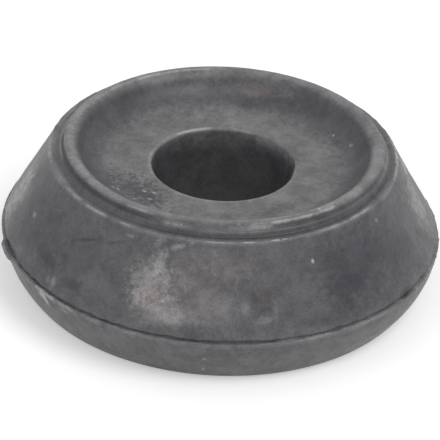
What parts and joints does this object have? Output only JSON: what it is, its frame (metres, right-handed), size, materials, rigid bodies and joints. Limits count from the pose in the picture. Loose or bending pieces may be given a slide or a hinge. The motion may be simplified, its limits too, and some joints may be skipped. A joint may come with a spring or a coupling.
{
  "type": "rubber bushing",
  "caption": "Conical moulded rubber bushing with a dished top seat, a rim bead over a stepped ledge, a plain through bore and a flat base.",
  "frame": {"origin": "centre of the bore in the plane of the flat base", "axes": "+Z along the bore axis, from the flat base up through the dished seat; +X to the right and +Y away from the viewer as the picture shows it, with nothing on the body that sets them"},
  "size_m": [0.0628, 0.0628, 0.0207],
  "materials": {
    "rubber": "matt black moulded rubber, greyed by bloom and handling, with light scuffs on its edges"
  },
  "bodies": {
    "root": {"bushing": "rubber"}
  },
  "joints": []
}
